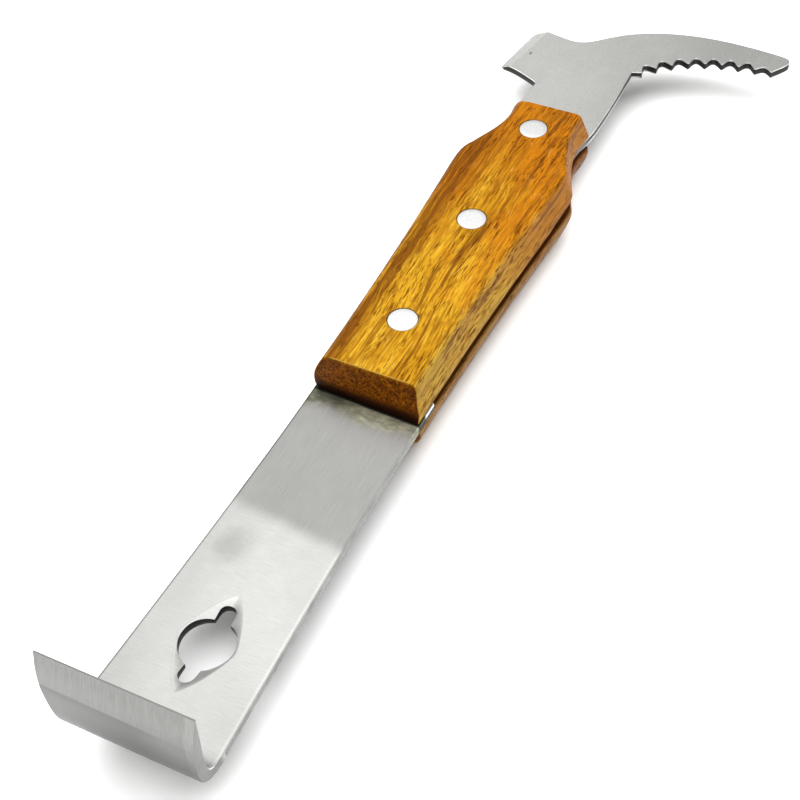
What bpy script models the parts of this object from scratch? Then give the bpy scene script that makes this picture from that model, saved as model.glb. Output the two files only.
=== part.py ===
"""Hive tool: one steel plate with a turned-up scraper, a pierced nail puller, a pry edge and a
serrated hook, between two wooden scales held by three two-part cutler's rivets.

Lengths below are millimetres in a drafting frame: x across the tool, y along it from the handle's
scraper end towards the hook, z up from the plate's upper face. place() turns them into metres in
the part's frame: origin under the middle of the bounding box, +Y towards the hook, +Z up.
"""

import math

import bmesh
import bpy

# Plate
PLATE_T = 2.5
BLADE_HALF = 15.25
BLADE_FLARE = 2.6
FLARE_FROM_Y = -10.0
FLARE_LENGTH = 90.0
BEND_Y = -99.4
LIP_HALF_TOP = 19.7
LIP_TOP_Z = 25.2
TANG_HALF = 10.0
BLADE_SHOULDER_Y = 8.2

# Nail puller
NAIL_Y = -76.4
NAIL_R = 6.8
SLOT_HALF = 2.1
SLOT_REACH = 10.9
COIN_HALF_X = 7.4
COIN_HALF_Y = 13.9
COIN_POWER = 1.3
COIN_DEPTH = 1.1

# Hook and pry edge
TEETH = 8
TOOTH_DEPTH = 2.5
TOOTH_POINT = 1.4
LAST_TOOTH_SHARE = 0.65
PRY_DROP = 1.9
PRY_LAND = 3.5

# Scales and rivets
SCALE_H = 10.6
HANDLE_LENGTH = 119.4
END_LEAN = 3.5
RIVET_Y = (22.5, 63.9, 105.3)
RIVET_HEAD_R = 4.0
RIVET_HEAD_T = 2.3
RIVET_TUBE_R = 2.4
RIVET_PIN_R = 1.25
FIT_GAP = 0.3
HEAD_GAP = 0.15
FLUSH = 0.05

# Half width of a scale at its widest level, by distance from the scraper end
SCALE_PLAN = (
    (0.0, 15.1), (10.0, 15.15), (20.0, 15.3), (36.0, 15.65), (52.0, 16.2), (69.0, 17.0),
    (80.0, 17.6), (87.0, 18.0), (90.5, 17.95), (92.5, 17.5), (94.5, 16.5), (97.0, 15.4),
    (100.0, 14.1), (103.0, 12.9), (106.5, 11.9), (110.0, 11.4), (113.0, 11.35), (116.5, 11.7),
    (119.4, 12.0),
)
# How far a scale's side stands in from that width, by height above the plate
UPPER_LEFT = (
    (0.0, 1.2), (0.5, 0.6), (1.3, 0.1), (2.5, -0.2), (4.0, -0.22), (5.4, 0.05), (6.9, 0.64),
    (8.4, 1.46), (9.5, 2.15), (10.1, 2.8), (10.45, 3.7), (10.6, 4.6),
)
UPPER_RIGHT = (
    (0.0, 1.2), (0.5, 0.6), (1.3, 0.15), (2.5, 0.12), (4.0, 0.5), (5.4, 0.9), (8.1, 1.42),
    (9.3, 1.74), (10.0, 2.1), (10.4, 2.9), (10.6, 3.9),
)
LOWER_SIDE = (
    (0.0, 1.0), (0.6, 0.4), (1.5, 0.15), (3.0, 0.3), (4.5, 0.8), (6.5, 1.6), (8.0, 2.4),
    (9.3, 3.4), (10.1, 4.2), (10.6, 5.0),
)
SCALE_LEVELS = (0.3, 0.6, 1.0, 1.6, 2.5, 4.0, 5.4, 6.9, 8.3, 9.3, 10.0, 10.4, 10.6)
# The upper scale's lower right edge: by how much of that it is filled out, and up to where
CRISP_SHARE = 0.8
CRISP_HEIGHT = 2.4
CRISP_UNTIL_Y = 77.0
CRISP_FADE = 10.0
# The upper scale's right side is steeper at the neck, by this share of how far it stands in
BOXY_SHARE = 0.45
BOXY_FROM_Y = 93.0
BOXY_FADE = 15.0
# The upper scale's end is a little out of square: its lower left corner is cut back
END_SKEW = 1.3
SKEW_FADE = 12.0
FAR_ROUND = 0.9
NEAR_ROUND = 0.4

# The bend and the lip in side view, as (y, z) along the inner face and along the outer face,
# where the lip is ground back to a thin edge
LIP_INNER = (
    (-99.4, 0.0), (-101.2, 0.2), (-102.7, 0.75), (-103.8, 1.75), (-104.5, 3.2), (-104.9, 5.2),
    (-105.15, 8.0), (-105.25, 12.0), (-105.25, 16.0), (-105.3, 19.5), (-105.4, 22.5), (-105.5, 25.2),
)
LIP_OUTER = (
    (-99.4, -2.5), (-101.9, -2.35), (-104.0, -1.75), (-105.9, -0.45), (-107.3, 1.7), (-108.0, 4.3),
    (-108.35, 7.6), (-108.45, 12.0), (-108.3, 15.7), (-107.75, 19.2), (-106.95, 22.3), (-105.95, 25.2),
)

ORIGIN = (13.0, 35.2, -(PLATE_T + SCALE_H))


def place(x, y, z):
    return ((x - ORIGIN[0]) / 1000, (y - ORIGIN[1]) / 1000, (z - ORIGIN[2]) / 1000)


def clear_scene():
    for obj in list(bpy.data.objects):
        bpy.data.objects.remove(obj, do_unlink=True)


def smooth(points, at):
    """A smooth curve through (position, value) pairs, read at one position."""
    last = len(points) - 1
    i = 0
    while i < last - 1 and at > points[i + 1][0]:
        i += 1
    x0, y0 = points[i]
    x1, y1 = points[i + 1]
    before = points[max(i - 1, 0)]
    after = points[min(i + 2, last)]
    m0 = (y1 - before[1]) / (x1 - before[0]) * (x1 - x0)
    m1 = (after[1] - y0) / (after[0] - x0) * (x1 - x0)
    t = min(max((at - x0) / (x1 - x0), 0.0), 1.0)
    a = 2 * t**3 - 3 * t**2 + 1
    b = t**3 - 2 * t**2 + t
    c = 3 * t**2 - 2 * t**3
    d = t**3 - t**2
    return a * y0 + b * m0 + c * y1 + d * m1


def spline(knots, steps):
    """Points of a Catmull-Rom curve through the knots, ends included."""
    ends = [knots[0], *knots, knots[-1]]
    found = []
    for i in range(1, len(ends) - 2):
        p0, p1, p2, p3 = ends[i - 1 : i + 3]
        for k in range(steps):
            t = k / steps
            found.append(
                tuple(
                    0.5
                    * (
                        2 * b
                        + (c - a) * t
                        + (2 * a - 5 * b + 4 * c - d) * t**2
                        + (3 * b - a - 3 * c + d) * t**3
                    )
                    for a, b, c, d in zip(p0, p1, p2, p3)
                )
            )
    found.append(knots[-1])
    return found


def mesh_object(name, corners, faces, material=None):
    mesh = bpy.data.meshes.new(name)
    mesh.from_pydata([place(*corner) for corner in corners], [], faces)
    shape = bmesh.new()
    shape.from_mesh(mesh)
    bmesh.ops.recalc_face_normals(shape, faces=shape.faces)
    shape.to_mesh(mesh)
    shape.free()
    obj = bpy.data.objects.new(name, mesh)
    bpy.context.scene.collection.objects.link(obj)
    if material:
        mesh.materials.append(material)
    return obj


def shade_smooth(obj, degrees=35):
    obj.data.shade_smooth()
    obj.data.set_sharp_from_angle(angle=math.radians(degrees))


def stacked(name, rings, material=None, slats=False):
    """A closed body from rings of equal length, each joined to the next. Its ends are flat, or
    with slats are strips between the two sides of a ring."""
    corners = [corner for ring in rings for corner in ring]
    count = len(rings[0])
    faces = []
    for level in range(len(rings) - 1):
        for k in range(count):
            a = level * count + k
            b = level * count + (k + 1) % count
            faces.append((a, b, b + count, a + count))
    last = len(corners) - count
    if slats:
        for k in range(count // 2 - 1):
            end = (k, k + 1, count - 2 - k, count - 1 - k)
            faces += [end, tuple(last + corner for corner in end)]
    else:
        faces += [tuple(range(count)), tuple(range(last, len(corners)))]
    return mesh_object(name, corners, faces, material)


def turned(name, profile, x, y, material=None, sides=36):
    """A body of revolution about the vertical through (x, y), from (radius, z) pairs that start
    and end on the axis."""
    corners = [(x, y, profile[0][1]), (x, y, profile[-1][1])]
    for radius, z in profile[1:-1]:
        for k in range(sides):
            turn = 2 * math.pi * k / sides
            corners.append((x + radius * math.cos(turn), y + radius * math.sin(turn), z))
    rings = len(profile) - 2
    faces = []
    for k in range(sides):
        n = (k + 1) % sides
        faces.append((0, 2 + k, 2 + n))
        end = 2 + (rings - 1) * sides
        faces.append((1, end + n, end + k))
        for ring in range(rings - 1):
            a = 2 + ring * sides
            faces.append((a + k, a + n, a + sides + n, a + sides + k))
    return mesh_object(name, corners, faces, material)


def cut(obj, cutter):
    cutter.hide_render = True
    cutter.display_type = "WIRE"
    step = obj.modifiers.new("cut_" + cutter.name, "BOOLEAN")
    step.operation = "DIFFERENCE"
    step.solver = "EXACT"
    step.object = cutter


def material(name, colour, roughness, metallic):
    made = bpy.data.materials.new(name)
    made.use_nodes = True
    shader = made.node_tree.nodes["Principled BSDF"]
    shader.inputs["Base Color"].default_value = (*colour, 1.0)
    shader.inputs["Roughness"].default_value = roughness
    shader.inputs["Metallic"].default_value = metallic
    made.diffuse_color = (*colour, 1.0)
    return made


def blade_half(y):
    t = min(max((FLARE_FROM_Y - y) / FLARE_LENGTH, 0.0), 1.0)
    return BLADE_HALF + BLADE_FLARE * t**1.47


def tooth_line():
    """The hook's inner edge: scallops ground into a curved line, leaving sharp teeth between."""
    start, pull, end = (14.2, 154.6), (23.7, 168.0), (50.0, 169.1)
    fine = []
    for k in range(241):
        t = k / 240
        fine.append(
            tuple((1 - t) ** 2 * a + 2 * t * (1 - t) * b + t**2 * c for a, b, c in zip(start, pull, end))
        )
    run = [0.0]
    for a, b in zip(fine, fine[1:]):
        run.append(run[-1] + math.dist(a, b))
    pitch = run[-1] / TEETH
    steps = 8
    found = []
    i = 0
    for k in range(TEETH * steps + 1):
        along = min(k * pitch / steps, run[-1])
        while i < len(run) - 2 and run[i + 1] < along:
            i += 1
        share = (along - run[i]) / (run[i + 1] - run[i])
        dx = fine[i + 1][0] - fine[i][0]
        dy = fine[i + 1][1] - fine[i][1]
        length = math.hypot(dx, dy)
        into = TOOTH_DEPTH * math.sin(math.pi * (k % steps) / steps) ** TOOTH_POINT
        if k > (TEETH - 1) * steps:
            into *= LAST_TOOTH_SHARE
        found.append(
            (
                fine[i][0] + share * dx - into * dy / length,
                fine[i][1] + share * dy + into * dx / length,
            )
        )
    return found


def plate_outline():
    """Counter-clockwise from the right end of the line where the bend's loft takes over."""
    start_y = BEND_Y + 3.0
    right = []
    for k in range(15):
        y = start_y + (BLADE_SHOULDER_Y - start_y) * k / 14
        right.append((blade_half(y), y))
    right += [(13.6, 9.6), (11.6, 10.6), (TANG_HALF, 12.4), (TANG_HALF, 60.0), (TANG_HALF, 112.0)]
    right += spline([(10.3, 115.2), (11.2, 119.6), (11.7, 125.9), (11.8, 136.7), (11.5, 148.4)], 3)
    right.append((11.4, 153.6))
    tip = spline(
        [(51.0, 170.6), (52.5, 172.8), (53.5, 174.9), (53.3, 176.4), (52.0, 177.3), (48.5, 177.9)], 3
    )
    back = spline(
        [(44.5, 178.3), (36.4, 178.7), (28.2, 178.5), (20.1, 177.4), (11.9, 175.2), (4.7, 171.8),
         (-0.4, 168.2), (-5.0, 164.2), (-8.1, 162.3), (-11.7, 161.8), (-16.9, 162.7)], 3
    )
    pry = [
        (-20.2, 163.2), (-24.4, 163.6), (-25.3, 163.0), (-27.6, 145.2), (-27.5, 143.8), (-26.5, 143.0)
    ]
    notch = [
        (-24.1, 142.5), (-21.5, 141.7), (-18.9, 140.7), (-16.5, 139.6), (-14.4, 138.6), (-13.6, 138.0)
    ]
    neck = spline(
        [(-13.5, 137.2), (-13.8, 134.1), (-14.2, 129.7), (-13.8, 124.3), (-12.2, 119.4), (-10.6, 115.5)],
        3,
    )
    left = [(-TANG_HALF, 112.0), (-TANG_HALF, 60.0), (-TANG_HALF, 12.4), (-11.6, 10.6), (-13.6, 9.6)]
    for k in range(15):
        y = BLADE_SHOULDER_Y + (start_y - BLADE_SHOULDER_Y) * k / 14
        left.append((-blade_half(y), y))
    return right + tooth_line() + tip + back + pry + notch + neck + left


def lip_sections():
    """(half width, inner y and z, outer y and z) from the flat blade round the bend to the edge."""
    inner = spline(LIP_INNER, 3)
    outer = spline(LIP_OUTER, 3)
    foot = blade_half(BEND_Y)
    found = []
    for near, far in zip(inner, outer):
        share = max(near[1], 0.0) / LIP_TOP_Z
        found.append((foot + (LIP_HALF_TOP - foot) * share, near, far))
    return found


def nail_outline():
    """A round hole with a slot at each end, for gripping a nail's shank."""
    turn = math.asin(SLOT_HALF / NAIL_R)
    found = []
    for side in (1, -1):
        for k in range(19):
            angle = math.pi / 2 - turn - (math.pi - 2 * turn) * k / 18
            found.append((side * NAIL_R * math.cos(angle), side * NAIL_R * math.sin(angle)))
        centre = -side * (SLOT_REACH - SLOT_HALF)
        for k in range(9):
            angle = math.pi * k / 8
            found.append(
                (side * SLOT_HALF * math.cos(angle), centre - side * SLOT_HALF * math.sin(angle))
            )
    return [(x, y + NAIL_Y) for x, y in found]


def coin_ring(scale, z):
    """The pointed oval that is pressed into the plate round the nail puller."""
    ring = []
    for k in range(48):
        turn = 2 * math.pi * k / 48
        x = abs(math.cos(turn)) ** (2 / COIN_POWER) * math.copysign(1, math.cos(turn))
        y = abs(math.sin(turn)) ** (2 / COIN_POWER) * math.copysign(1, math.sin(turn))
        ring.append((scale * COIN_HALF_X * x, NAIL_Y + scale * COIN_HALF_Y * y, z))
    return ring


def pry_cutter():
    """A wedge whose lower face slopes down from the pry edge's back line to its thin edge."""
    right, left = (-19.5, 168.0), (-24.7, 138.0)
    length = math.dist(right, left)
    out = ((left[1] - right[1]) / length, -(left[0] - right[0]) / length)
    slope = PRY_DROP / PRY_LAND
    rings = []
    for x, y in (right, left):
        ring = []
        for d, z in ((-2.0, 2.0 * slope), (8.0, -8.0 * slope), (8.0, 3.0), (-2.0, 3.0)):
            ring.append((x + d * out[0], y + d * out[1], z))
        rings.append(ring)
    return stacked("pry_bevel_tool", rings)


def make_blade(steel):
    outline = plate_outline()
    count = len(outline)
    corners = [(x, y, 0.0) for x, y in outline] + [(x, y, -PLATE_T) for x, y in outline]
    faces = [tuple(range(count)), tuple(range(2 * count - 1, count - 1, -1))]
    for k in range(count - 1):
        faces.append((k, count + k, count + k + 1, k + 1))
    last = (count - 1, 0, count, 2 * count - 1)
    for half, inner, outer in lip_sections():
        new = len(corners)
        corners += [(-half, *inner), (half, *inner), (half, *outer), (-half, *outer)]
        for k in range(4):
            faces.append((last[k], last[(k + 1) % 4], new + (k + 1) % 4, new + k))
        last = (new, new + 1, new + 2, new + 3)
    faces.append(last)
    blade = mesh_object("blade", corners, faces, steel)
    nail = nail_outline()
    cut(blade, stacked("coin_tool", [coin_ring(1.25, 0.72), coin_ring(0.62, -COIN_DEPTH)]))
    cut(blade, stacked("nail_tool", [[(x, y, z) for x, y in nail] for z in (-4.0, 2.0)]))
    cut(blade, pry_cutter())
    for number, y in enumerate(RIVET_Y, 1):
        hole = RIVET_TUBE_R + FIT_GAP
        profile = [(0, -4.0), (hole, -4.0), (hole, 2.0), (0, 2.0)]
        cut(blade, turned(f"tang_hole_{number}_tool", profile, 0.0, y))
    shade_smooth(blade, 30)
    return blade


def side_inset(side, height, y, sign):
    """How far a scale's right side stands in at this height. The upper scale's lower edge is
    crisp from the scraper end up to its widest part, and its side is steeper at the neck."""
    inset = smooth(side, height)
    if sign > 0 and height < CRISP_HEIGHT:
        fade = min(max((y - CRISP_UNTIL_Y) / CRISP_FADE, 0.0), 1.0)
        inset *= 1 - CRISP_SHARE * (1 - fade) * (1 - (height / CRISP_HEIGHT) ** 2)
    elif sign > 0:
        inset *= 1 - BOXY_SHARE * min(max((y - BOXY_FROM_Y) / BOXY_FADE, 0.0), 1.0)
    return inset


def scale_rings(left_side, right_side, base, sign):
    """Cross-sections of one scale from the scraper end to the hook end. sign is 1 above the
    plate and -1 below it."""
    rings = []
    shares = [0.0, 0.004, 0.012]
    shares += [k / 34 for k in range(1, 24)]
    shares += [0.69 + 0.02 * k for k in range(14)]
    shares += [0.965, 0.98, 0.988, 0.994, 0.998, 1.0]
    for share in shares:
        left, right = [], []
        for height in SCALE_LEVELS:
            near = END_LEAN * height / SCALE_H
            far = HANDLE_LENGTH - near
            y = near + (far - near) * share
            round_far = max(1.0 - (far - y) / FAR_ROUND, 0.0)
            round_near = max(1.0 - (y - near) / NEAR_ROUND, 0.0)
            half = smooth(SCALE_PLAN, y)
            half -= FAR_ROUND * (1 - math.sqrt(1 - round_far**2))
            half -= NEAR_ROUND * (1 - math.sqrt(1 - round_near**2))
            skew = END_SKEW * (1 - height / SCALE_H) ** 2 * max(1.0 - y / SKEW_FADE, 0.0)
            z = base + sign * height
            left.append((smooth(left_side, height) - half, y + max(sign, 0) * skew, z))
            right.append((half - side_inset(right_side, height, y, sign), y, z))
        rings.append(left + right[::-1])
    return rings


def make_scale(name, sides, base, sign, wood):
    scale = stacked(name, scale_rings(*sides, base, sign), wood, slats=True)
    outer = base + sign * SCALE_H
    seat = outer - sign * (FLUSH + RIVET_HEAD_T + FIT_GAP)
    bore = RIVET_TUBE_R + FIT_GAP
    wide = RIVET_HEAD_R + HEAD_GAP
    profile = [
        (0, base - sign * 2), (bore, base - sign * 2), (bore, seat),
        (wide, seat), (wide, outer + sign * 2), (0, outer + sign * 2),
    ]
    for number, y in enumerate(RIVET_Y, 1):
        cut(scale, turned(f"{name}_hole_{number}_tool", profile, 0.0, y))
    shade_smooth(scale, 40)
    return scale


def make_rivet(number, y, metal):
    """A cutler's rivet: a pinned head above and a tubular head below."""
    top = SCALE_H - FLUSH
    under = top - RIVET_HEAD_T
    end = -PLATE_T - SCALE_H + FLUSH
    over = end + RIVET_HEAD_T
    rim = RIVET_HEAD_R - 0.25
    pin = [
        (0, top), (rim * 0.55, top - 0.01), (rim, top - 0.06), (RIVET_HEAD_R, top - 0.3),
        (RIVET_HEAD_R, under), (RIVET_PIN_R, under), (RIVET_PIN_R, over + 1.6),
        (RIVET_PIN_R - 0.4, over + 1.1), (0, over + 1.1),
    ]
    bore = RIVET_PIN_R + FIT_GAP
    tube = [
        (0, end), (rim * 0.55, end + 0.01), (rim, end + 0.06), (RIVET_HEAD_R, end + 0.3),
        (RIVET_HEAD_R, over), (RIVET_TUBE_R, over), (RIVET_TUBE_R, under - 0.8),
        (RIVET_TUBE_R - 0.2, under - 0.6), (bore, under - 0.6), (bore, over + 0.6), (0, over + 0.6),
    ]
    for name, profile in ((f"rivet_{number}_pin", pin), (f"rivet_{number}_tube", tube)):
        shade_smooth(turned(name, profile, 0.0, y, metal), 30)


def main():
    clear_scene()
    steel = material("brushed_steel", (0.60, 0.60, 0.61), 0.36, 1.0)
    wood = material("oiled_wood", (0.52, 0.25, 0.05), 0.5, 0.0)
    bright = material("rivet_metal", (0.86, 0.86, 0.87), 0.28, 1.0)
    make_blade(steel)
    make_scale("upper_scale", (UPPER_LEFT, UPPER_RIGHT), 0.0, 1, wood)
    make_scale("lower_scale", (LOWER_SIDE, LOWER_SIDE), -PLATE_T, -1, wood)
    for number, y in enumerate(RIVET_Y, 1):
        make_rivet(number, y, bright)


main()
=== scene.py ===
"""Looks for the hive tool: finer meshes, procedural materials, a pale floor, soft light and the camera.

The shapes repeat the model's drafting frame: millimetres, x across the tool, y along it from the
handle's scraper end towards the hook, z up from the plate's upper face. place() turns them into
metres in the part's frame.
"""

import math
from types import SimpleNamespace

import bmesh
import bpy
from mathutils import Matrix, Vector


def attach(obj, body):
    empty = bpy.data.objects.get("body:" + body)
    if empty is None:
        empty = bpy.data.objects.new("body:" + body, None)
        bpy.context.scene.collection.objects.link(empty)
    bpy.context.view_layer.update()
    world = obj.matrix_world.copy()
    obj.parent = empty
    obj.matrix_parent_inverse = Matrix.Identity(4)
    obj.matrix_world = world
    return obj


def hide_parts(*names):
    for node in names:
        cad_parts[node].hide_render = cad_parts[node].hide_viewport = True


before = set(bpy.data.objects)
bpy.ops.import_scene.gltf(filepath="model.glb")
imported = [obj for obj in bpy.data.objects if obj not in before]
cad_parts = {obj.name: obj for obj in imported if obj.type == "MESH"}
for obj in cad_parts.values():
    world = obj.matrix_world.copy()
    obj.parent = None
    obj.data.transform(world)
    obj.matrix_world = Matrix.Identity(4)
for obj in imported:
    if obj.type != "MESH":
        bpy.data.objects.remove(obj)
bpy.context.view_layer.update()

# Plate
PLATE_T = 2.5
BLADE_HALF = 15.25
BLADE_FLARE = 2.6
FLARE_FROM_Y = -10.0
FLARE_LENGTH = 90.0
FLARE_POWER = 1.47
BEND_Y = -99.4
LIP_HALF_TOP = 19.7
LIP_TOP_Z = 25.2
TANG_HALF = 10.0
BLADE_SHOULDER_Y = 8.2

# Nail puller: a round hole with two slots, in a pressed recess shaped like a pointed oval
NAIL_Y = -76.4
NAIL_R = 6.8
SLOT_HALF = 2.1
SLOT_REACH = 10.9
COIN_HALF_X = 7.4
COIN_HALF_Y = 13.9
COIN_POWER = 1.3
COIN_DEPTH = 1.1
HOLE_EDGE = 0.14
# A cutter that goes through the plate reaches from this height to this one
THROUGH = (-4.0, 2.0)

# Hook and pry edge
TEETH = 8
TOOTH_DEPTH = 2.5
TOOTH_POINT = 1.4
LAST_TOOTH_SHARE = 0.65
TOOTH_CURVE = ((14.2, 154.6), (23.7, 168.0), (50.0, 169.1))
PRY_DROP = 1.9
PRY_LAND = 3.5
PRY_BACK_LINE = ((-19.5, 168.0), (-24.7, 138.0))

# Scales and rivets
SCALE_H = 10.6
HANDLE_LENGTH = 119.4
END_LEAN = 3.5
RIVET_Y = (22.5, 63.9, 105.3)
RIVET_HEAD_R = 4.0
RIVET_HEAD_T = 2.3
RIVET_TUBE_R = 2.4
RIVET_PIN_R = 1.25
RIVET_RIM = 0.3
FIT_GAP = 0.3
HEAD_GAP = 0.15
FLUSH = 0.05
# The edge of a rivet's hole in the wood is eased by this width and depth
EASE_WIDTH = 0.12
EASE_DEPTH = 0.06

# Half width of a scale at its widest level, by distance from the scraper end
SCALE_PLAN = (
    (0.0, 15.1), (10.0, 15.15), (20.0, 15.3), (36.0, 15.65), (52.0, 16.2), (69.0, 17.0),
    (80.0, 17.6), (87.0, 18.0), (90.5, 17.95), (92.5, 17.5), (94.5, 16.5), (97.0, 15.4),
    (100.0, 14.1), (103.0, 12.9), (106.5, 11.9), (110.0, 11.4), (113.0, 11.35), (116.5, 11.7),
    (119.4, 12.0),
)
# How far a scale's side stands in from that width, by distance from the plate
UPPER_LEFT = (
    (0.0, 1.2), (0.5, 0.6), (1.3, 0.1), (2.5, -0.2), (4.0, -0.22), (5.4, 0.05), (6.9, 0.64),
    (8.4, 1.46), (9.5, 2.15), (10.1, 2.8), (10.45, 3.7), (10.6, 4.6),
)
UPPER_RIGHT = (
    (0.0, 1.2), (0.5, 0.6), (1.3, 0.15), (2.5, 0.12), (4.0, 0.5), (5.4, 0.9), (8.1, 1.42),
    (9.3, 1.74), (10.0, 2.1), (10.4, 2.9), (10.6, 3.9),
)
LOWER_SIDE = (
    (0.0, 1.0), (0.6, 0.4), (1.5, 0.15), (3.0, 0.3), (4.5, 0.8), (6.5, 1.6), (8.0, 2.4),
    (9.3, 3.4), (10.1, 4.2), (10.6, 5.0),
)
# The upper scale's lower right edge is crisp: this share of how far it stands in is filled out,
# below this height and up to this y, and then it fades
CRISP_SHARE = 0.8
CRISP_HEIGHT = 2.4
CRISP_UNTIL_Y = 77.0
CRISP_FADE = 10.0
# The upper scale's right side is steeper from this y on, by this share of how far it stands in
BOXY_SHARE = 0.45
BOXY_FROM_Y = 93.0
BOXY_FADE = 15.0
# The upper scale's end is a little out of square: its lower left corner is cut back
END_SKEW = 1.3
SKEW_FADE = 12.0
# How far the corners at a scale's two ends are rounded
FAR_ROUND = 0.9
NEAR_ROUND = 0.4

# The bend and the lip in side view, as (y, z) along the inner face and along the outer face,
# where the lip is ground back to a thin edge
LIP_INNER = (
    (-99.4, 0.0), (-101.2, 0.2), (-102.7, 0.75), (-103.8, 1.75), (-104.5, 3.2), (-104.9, 5.2),
    (-105.15, 8.0), (-105.25, 12.0), (-105.25, 16.0), (-105.3, 19.5), (-105.4, 22.5), (-105.5, 25.2),
)
LIP_OUTER = (
    (-99.4, -2.5), (-101.9, -2.35), (-104.0, -1.75), (-105.9, -0.45), (-107.3, 1.7), (-108.0, 4.3),
    (-108.35, 7.6), (-108.45, 12.0), (-108.3, 15.7), (-107.75, 19.2), (-106.95, 22.3), (-105.95, 25.2),
)

ORIGIN = (13.0, 35.2, -(PLATE_T + SCALE_H))

# Levels down a rounded edge, as (share of the rounding inwards, share of it down)
ROUND_STEPS = tuple(
    (1 - math.sin(math.radians(a)), 1 - math.cos(math.radians(a))) for a in (0, 30, 60, 90)
)


# Shapes


def place(x, y, z):
    """A point of the drafting frame, in metres in the part's frame."""
    return ((x - ORIGIN[0]) / 1000, (y - ORIGIN[1]) / 1000, (z - ORIGIN[2]) / 1000)


def smooth(points, at):
    """A smooth curve through (position, value) pairs, read at one position."""
    last = len(points) - 1
    i = 0
    while i < last - 1 and at > points[i + 1][0]:
        i += 1
    x0, y0 = points[i]
    x1, y1 = points[i + 1]
    before = points[max(i - 1, 0)]
    after = points[min(i + 2, last)]
    m0 = (y1 - before[1]) / (x1 - before[0]) * (x1 - x0)
    m1 = (after[1] - y0) / (after[0] - x0) * (x1 - x0)
    t = min(max((at - x0) / (x1 - x0), 0.0), 1.0)
    a = 2 * t**3 - 3 * t**2 + 1
    b = t**3 - 2 * t**2 + t
    c = 3 * t**2 - 2 * t**3
    d = t**3 - t**2
    return a * y0 + b * m0 + c * y1 + d * m1


def spline(knots, steps):
    """Points of a Catmull-Rom curve through the knots, ends included."""
    ends = [knots[0], *knots, knots[-1]]
    found = []
    for i in range(1, len(ends) - 2):
        p0, p1, p2, p3 = ends[i - 1 : i + 3]
        for k in range(steps):
            t = k / steps
            found.append(
                tuple(
                    0.5
                    * (
                        2 * b
                        + (c - a) * t
                        + (2 * a - 5 * b + 4 * c - d) * t**2
                        + (3 * b - a - 3 * c + d) * t**3
                    )
                    for a, b, c, d in zip(p0, p1, p2, p3)
                )
            )
    found.append(knots[-1])
    return found


def mesh_object(name, corners, faces):
    """An object from corners in the drafting frame, with its faces turned outwards."""
    mesh = bpy.data.meshes.new(name)
    mesh.from_pydata([place(*corner) for corner in corners], [], faces)
    shape = bmesh.new()
    shape.from_mesh(mesh)
    bmesh.ops.recalc_face_normals(shape, faces=shape.faces)
    shape.to_mesh(mesh)
    shape.free()
    obj = bpy.data.objects.new(name, mesh)
    bpy.context.scene.collection.objects.link(obj)
    return obj


def stacked(name, rings, slats=False):
    """A closed body from rings of equal length, each joined to the next. Its ends are flat, or
    with slats are strips between the two sides of a ring."""
    corners = [corner for ring in rings for corner in ring]
    count = len(rings[0])
    faces = []
    for level in range(len(rings) - 1):
        for k in range(count):
            a = level * count + k
            b = level * count + (k + 1) % count
            faces.append((a, b, b + count, a + count))
    last = len(corners) - count
    if slats:
        for k in range(count // 2 - 1):
            end = (k, k + 1, count - 2 - k, count - 1 - k)
            faces += [end, tuple(last + corner for corner in end)]
    else:
        faces += [tuple(range(count)), tuple(range(last, len(corners)))]
    return mesh_object(name, corners, faces)


def turned(name, profile, x, y, sides=96):
    """A body of revolution about the vertical through (x, y), from (radius, z) pairs that start
    and end on the axis."""
    corners = [(x, y, profile[0][1]), (x, y, profile[-1][1])]
    for radius, z in profile[1:-1]:
        for k in range(sides):
            turn = 2 * math.pi * k / sides
            corners.append((x + radius * math.cos(turn), y + radius * math.sin(turn), z))
    rings = len(profile) - 2
    faces = []
    for k in range(sides):
        n = (k + 1) % sides
        faces.append((0, 2 + k, 2 + n))
        end = 2 + (rings - 1) * sides
        faces.append((1, end + n, end + k))
        for ring in range(rings - 1):
            a = 2 + ring * sides
            faces.append((a + k, a + n, a + sides + n, a + sides + k))
    return mesh_object(name, corners, faces)


def cut(obj, cutters):
    """Takes the cutters out of the object's mesh for good."""
    for cutter in cutters:
        step = obj.modifiers.new("cut", "BOOLEAN")
        step.operation = "DIFFERENCE"
        step.solver = "EXACT"
        step.object = cutter
    graph = bpy.context.evaluated_depsgraph_get()
    made = bpy.data.meshes.new_from_object(obj.evaluated_get(graph))
    obj.modifiers.clear()
    obj.data = made
    for cutter in cutters:
        bpy.data.objects.remove(cutter, do_unlink=True)


def shade_smooth(obj, degrees):
    """Smooth shading up to an angle between faces, with the level faces left flat."""
    obj.data.shade_smooth()
    obj.data.set_sharp_from_angle(angle=math.radians(degrees))
    for face in obj.data.polygons:
        if abs(face.normal.z) > 0.9999:
            face.use_smooth = False


def blade_half(y):
    """Half the blade's width, which flares towards the scraper."""
    t = min(max((FLARE_FROM_Y - y) / FLARE_LENGTH, 0.0), 1.0)
    return BLADE_HALF + BLADE_FLARE * t**FLARE_POWER


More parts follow.
